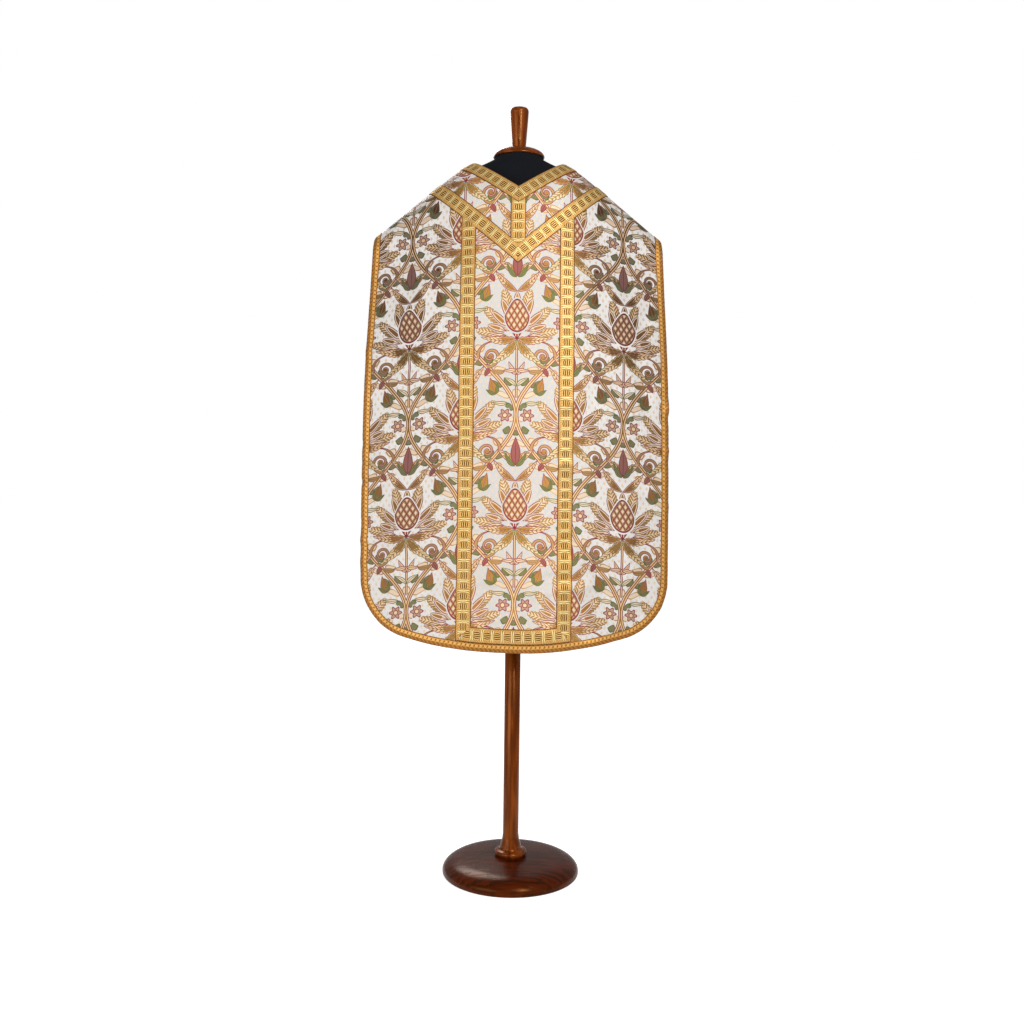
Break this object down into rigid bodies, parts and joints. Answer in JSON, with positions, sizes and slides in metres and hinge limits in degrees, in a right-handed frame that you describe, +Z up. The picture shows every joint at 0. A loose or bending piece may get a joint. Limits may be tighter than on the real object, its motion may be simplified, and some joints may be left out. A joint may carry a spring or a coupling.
{
  "type": "roman chasuble on a limbless dress form",
  "caption": "Fiddleback chasuble in floral brocade with gold galloon in chevrons and columns, hanging on a limbless dress form with a round wooden foot.",
  "frame": {"origin": "on the floor under the middle of the stand", "axes": "+Z up, the front of the vestment faces -Y, and +X is its right as seen from the front"},
  "size_m": [0.6742, 0.2994, 1.6715],
  "materials": {
    "brocade": "figured silk and metal-thread brocade, silver-white ground with gold, rose and green flowers",
    "galloon": "wide woven gold braid, bright raised motifs",
    "edge_galloon": "narrow woven gold braid, rolled edge",
    "form_cover": "matt black jersey stretched over the form",
    "polished_wood": "red-brown hardwood, turned and french polished"
  },
  "bodies": {
    "root": {"front_centre": "brocade", "front_side_left": "brocade", "front_side_right": "brocade", "yoke_left": "brocade", "yoke_right": "brocade", "back_centre": "brocade", "back_side_left": "brocade", "back_side_right": "brocade", "neck_galloon_left": "galloon", "neck_galloon_right": "galloon", "chevron_galloon_left": "galloon", "chevron_galloon_right": "galloon", "stem_galloon": "galloon", "back_neck_galloon": "galloon", "front_column_galloon_left": "galloon", "front_column_galloon_right": "galloon", "front_foot_galloon": "galloon", "back_column_galloon_left": "galloon", "back_column_galloon_right": "galloon", "back_foot_galloon": "galloon", "front_edge_galloon": "edge_galloon", "back_edge_galloon": "edge_galloon", "torso": "form_cover", "neck_cap": "polished_wood", "finial": "polished_wood", "pole": "polished_wood", "base": "polished_wood"}
  },
  "joints": []
}
